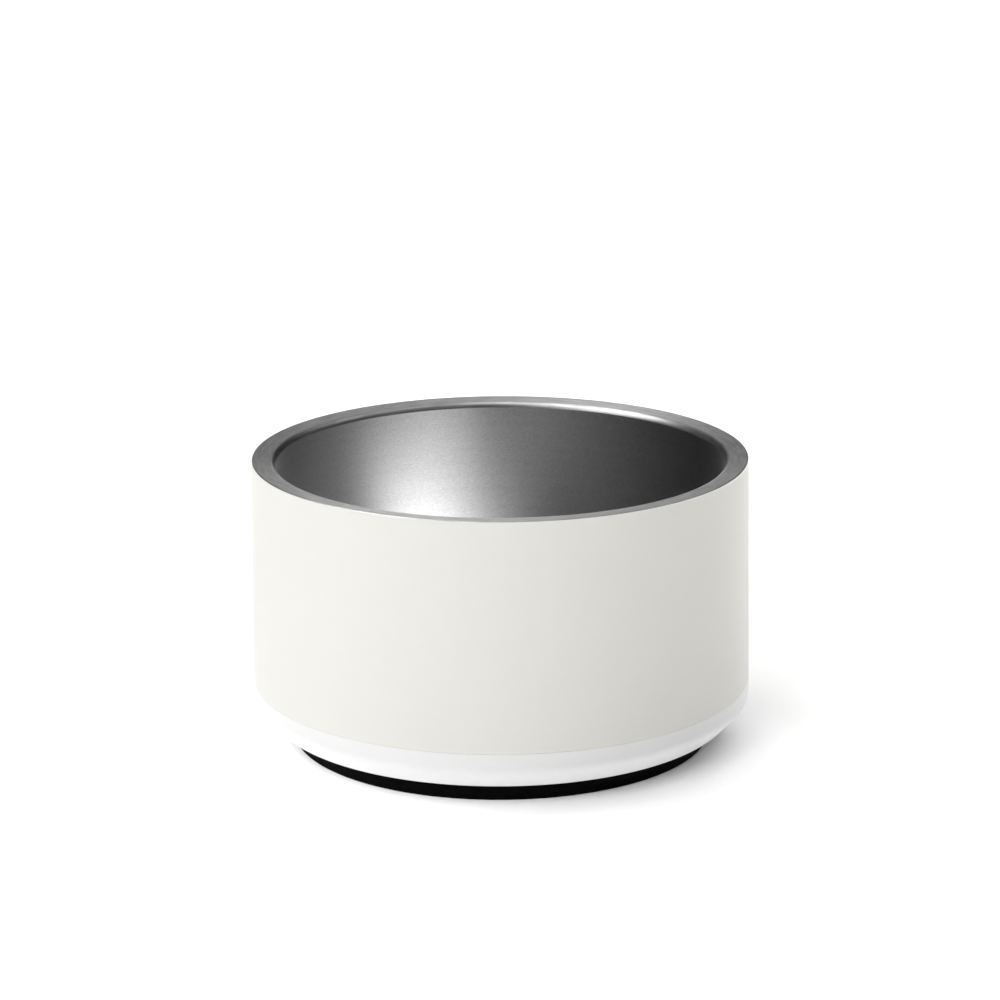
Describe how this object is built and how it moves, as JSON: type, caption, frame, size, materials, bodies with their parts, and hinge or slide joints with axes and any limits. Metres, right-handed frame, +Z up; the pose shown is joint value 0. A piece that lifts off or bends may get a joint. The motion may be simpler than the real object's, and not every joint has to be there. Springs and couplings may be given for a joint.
{
  "type": "dog bowl",
  "caption": "Round double-wall steel dog bowl with a wide brushed rim, off-white coated wall, white chamfered base and black rubber non-slip foot ring.",
  "frame": {"origin": "centre of the foot ring's underside, on the surface that the bowl stands on", "axes": "+Z up along the bowl's turning axis; the bowl is round, so X and Y are any two square directions"},
  "size_m": [0.1666, 0.1666, 0.0957],
  "materials": {
    "brushed_steel": "stainless steel, brushed round the axis",
    "plain_steel": "plain rolled stainless steel sheet",
    "off_white_coat": "satin off-white powder coat",
    "white_coat": "semi-gloss white coat",
    "plug_steel": "plain turned steel",
    "bond_film": "dark adhesive film",
    "black_rubber": "matte black moulded rubber"
  },
  "bodies": {
    "root": {"inner_bowl": "brushed_steel", "outer_wall": "plain_steel", "colour_band": "off_white_coat", "bottom_pan": "white_coat", "port_plug": "plug_steel", "cover_disc": "plain_steel", "foot_bond": "bond_film", "rubber_foot": "black_rubber"}
  },
  "joints": []
}
